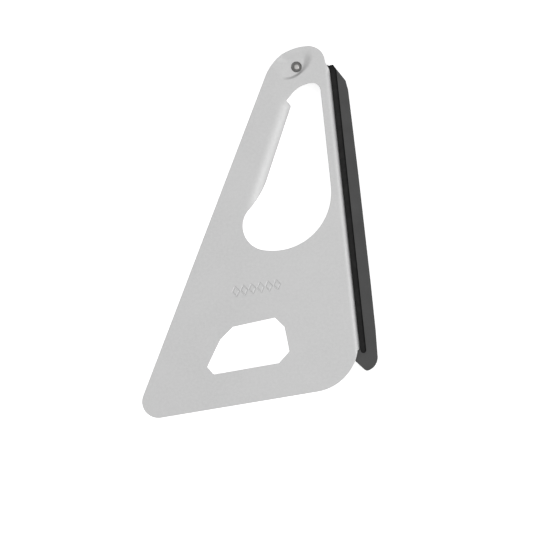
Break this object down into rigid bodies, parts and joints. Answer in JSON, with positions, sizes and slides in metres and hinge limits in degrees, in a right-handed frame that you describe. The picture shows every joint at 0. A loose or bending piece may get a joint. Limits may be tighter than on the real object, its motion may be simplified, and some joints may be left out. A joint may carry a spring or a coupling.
{
  "type": "painters multi tool",
  "caption": "Hand-held pressed-steel opener for tins, jars and bottles: a triangular plate with a screw-cap hole and a crown-cap cut-out, and a hinged rubber-faced jaw.",
  "frame": {"origin": "centre of the bounding box's bottom face, with the tool lying on its back, front face up", "axes": "+Y along the folded flange towards the riveted apex, +X towards the lever, +Z out of the front face"},
  "size_m": [0.0925, 0.1363, 0.01],
  "materials": {
    "pressed_steel": "satin, tumbled",
    "rivet_steel": "semi-gloss",
    "spring_steel": "satin",
    "blackened_steel": "blackened, satin",
    "moulded_grey": "fine moulded grain",
    "black_rubber": "matte"
  },
  "bodies": {
    "body": {"body_plate": "pressed_steel", "pivot_rivet": "rivet_steel", "pivot_washer": "rivet_steel", "spring_washer": "spring_steel"},
    "lever": {"lever_core": "blackened_steel", "jaw_body": "moulded_grey", "grip_strip": "black_rubber"}
  },
  "joints": [
    {"name": "lever_swing", "type": "hinge", "parent": "body", "child": "lever", "pos_m": [0.0267, 0.0606, 0], "axis": [0, 0, 1], "range_deg": [0, 90]}
  ]
}
